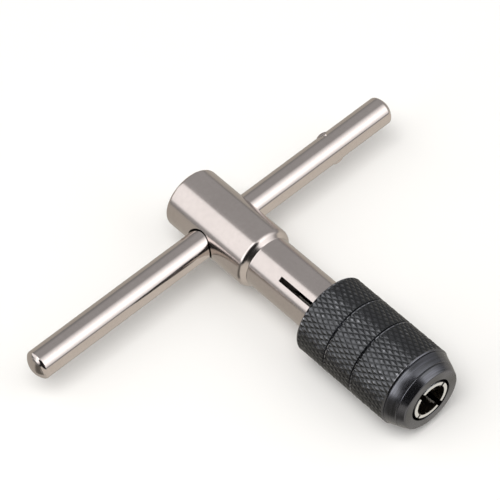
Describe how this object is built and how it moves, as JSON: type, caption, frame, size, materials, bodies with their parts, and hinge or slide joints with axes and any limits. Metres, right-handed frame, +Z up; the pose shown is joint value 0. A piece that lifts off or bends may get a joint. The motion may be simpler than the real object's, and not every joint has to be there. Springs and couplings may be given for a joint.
{
  "type": "tap wrench",
  "caption": "T-handle tap wrench: plated spindle with a split nose, knurled screw-on clamp sleeve and a sliding cross bar.",
  "frame": {"origin": "centre of the round bore in the front of the four jaws, on the tool axis", "axes": "+X out of the nose along the tool axis, +Y along the cross bar towards its ears, +Z up with the wrench lying flat"},
  "size_m": [0.0658, 0.09, 0.0168],
  "materials": {
    "plated_steel": "bright nickel plate over turned steel",
    "jaw_steel": "bright turned steel",
    "black_oxide": "black oxide over a diamond knurl, satin",
    "bush_steel": "turned steel",
    "ball_steel": "polished",
    "spring_steel": "drawn wire",
    "screw_steel": "black oxide"
  },
  "bodies": {
    "spindle": {"spindle_body": "plated_steel", "detent_spring": "spring_steel", "detent_grub_screw": "screw_steel"},
    "thread_bush": {"sleeve_thread_bush": "bush_steel"},
    "sleeve": {"chuck_sleeve": "black_oxide"},
    "jaw_1": {"jaw_1": "jaw_steel"},
    "jaw_2": {"jaw_2": "jaw_steel"},
    "jaw_3": {"jaw_3": "jaw_steel"},
    "jaw_4": {"jaw_4": "jaw_steel"},
    "bar": {"tommy_bar": "plated_steel"},
    "ball": {"detent_ball": "ball_steel"}
  },
  "joints": [
    {"name": "bar_slide", "type": "slide", "parent": "spindle", "child": "bar", "axis": [0, 1, 0], "range_m": [-0.0195, 0.04]},
    {"name": "sleeve_advance", "type": "slide", "parent": "spindle", "child": "thread_bush", "axis": [-1, 0, 0], "range_m": [0, 0.001]},
    {"name": "sleeve_turn", "type": "hinge", "parent": "thread_bush", "child": "sleeve", "pos_m": [-0.01, 0, 0], "axis": [-1, 0, 0], "range_deg": [0, 361]},
    {"name": "jaw_1_close", "type": "hinge", "parent": "spindle", "child": "jaw_1", "pos_m": [-0.0124, 0.00073, 0.00414], "axis": [0, 0.9848, -0.1736], "range_deg": [0, 1.05]},
    {"name": "jaw_2_close", "type": "hinge", "parent": "spindle", "child": "jaw_2", "pos_m": [-0.0124, -0.00414, 0.00073], "axis": [0, 0.1736, 0.9848], "range_deg": [0, 1.05]},
    {"name": "jaw_3_close", "type": "hinge", "parent": "spindle", "child": "jaw_3", "pos_m": [-0.0124, -0.00073, -0.00414], "axis": [0, -0.9848, 0.1736], "range_deg": [0, 1.05]},
    {"name": "jaw_4_close", "type": "hinge", "parent": "spindle", "child": "jaw_4", "pos_m": [-0.0124, 0.00414, -0.00073], "axis": [0, -0.1736, -0.9848], "range_deg": [0, 1.05]},
    {"name": "ball_lift", "type": "slide", "parent": "spindle", "child": "ball", "axis": [-1, 0, 0], "range_m": [0, 0.0003], "stiffness_N_per_m": 200, "deforming": ["detent_spring"]}
  ],
  "couplings": [
    {"joint": "sleeve_turn", "follows": "sleeve_advance", "rad_per_m": 6283.2},
    {"joint": "jaw_1_close", "follows": "sleeve_advance", "rad_per_m": 18.151},
    {"joint": "jaw_2_close", "follows": "sleeve_advance", "rad_per_m": 18.151},
    {"joint": "jaw_3_close", "follows": "sleeve_advance", "rad_per_m": 18.151},
    {"joint": "jaw_4_close", "follows": "sleeve_advance", "rad_per_m": 18.151}
  ]
}
